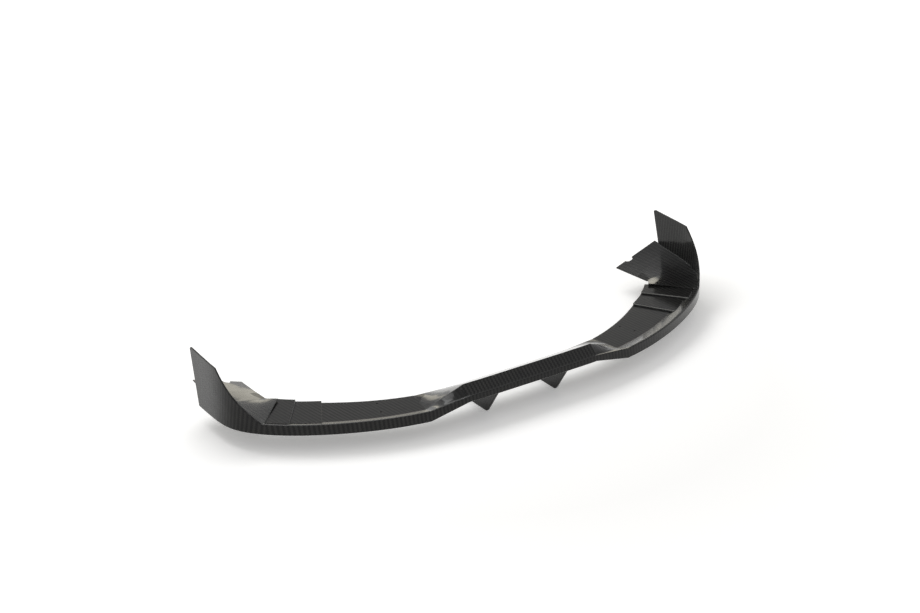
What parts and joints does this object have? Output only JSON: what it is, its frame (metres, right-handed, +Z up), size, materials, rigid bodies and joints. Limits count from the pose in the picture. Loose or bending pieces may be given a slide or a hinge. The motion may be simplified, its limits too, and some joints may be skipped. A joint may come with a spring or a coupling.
{
  "type": "bumper lip valance",
  "caption": "U-shaped moulded bumper lip with a thin rim, a stepped mounting flange, upright end winglets and fins under a raised centre.",
  "frame": {"origin": "middle of the bounding box in plan, at the height of the fins' lower edges", "axes": "+X across the car, -Y towards the convex side, +Z up with the winglets"},
  "size_m": [1.7624, 0.5584, 0.2427],
  "materials": {
    "carbon": "woven carbon laminate under a clear gloss coat, duller on the flange"
  },
  "bodies": {
    "root": {"valance": "carbon"}
  },
  "joints": []
}
